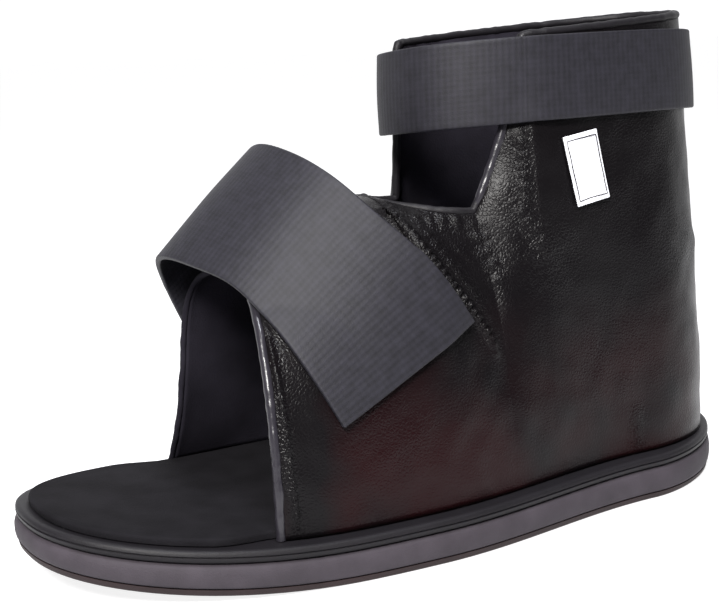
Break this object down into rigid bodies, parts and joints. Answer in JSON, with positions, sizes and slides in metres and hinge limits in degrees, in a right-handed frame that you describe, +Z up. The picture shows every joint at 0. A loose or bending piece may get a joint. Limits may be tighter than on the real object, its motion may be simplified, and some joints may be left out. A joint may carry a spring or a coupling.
{
  "type": "cast shoe",
  "caption": "Open-toe cast shoe with a flat layered foam sole, a hollow grained-vinyl upper with a high collar, and two wide hook-and-loop straps",
  "frame": {"origin": "On the floor under the middle of the sole's length and width", "axes": "+X points to the toe, +Y to the wearer's left, +Z up"},
  "size_m": [0.29, 0.13, 0.1835],
  "materials": {
    "outsole_rubber": "matte",
    "midsole_foam": "matte foam",
    "rim_foam": "matte foam",
    "footbed_fabric": "matte weave",
    "grained_vinyl": "grained, half gloss",
    "edge_bead_vinyl": "smooth, half gloss",
    "strap_webbing": "matte weave",
    "label_fabric": "plain white"
  },
  "bodies": {
    "root": {"outsole": "outsole_rubber", "midsole": "midsole_foam", "welt": "rim_foam", "insole": "footbed_fabric", "upper": "grained_vinyl", "toe_piping": "edge_bead_vinyl", "collar_piping": "edge_bead_vinyl", "forefoot_strap": "strap_webbing", "collar_strap": "strap_webbing", "tag": "label_fabric"}
  },
  "joints": []
}
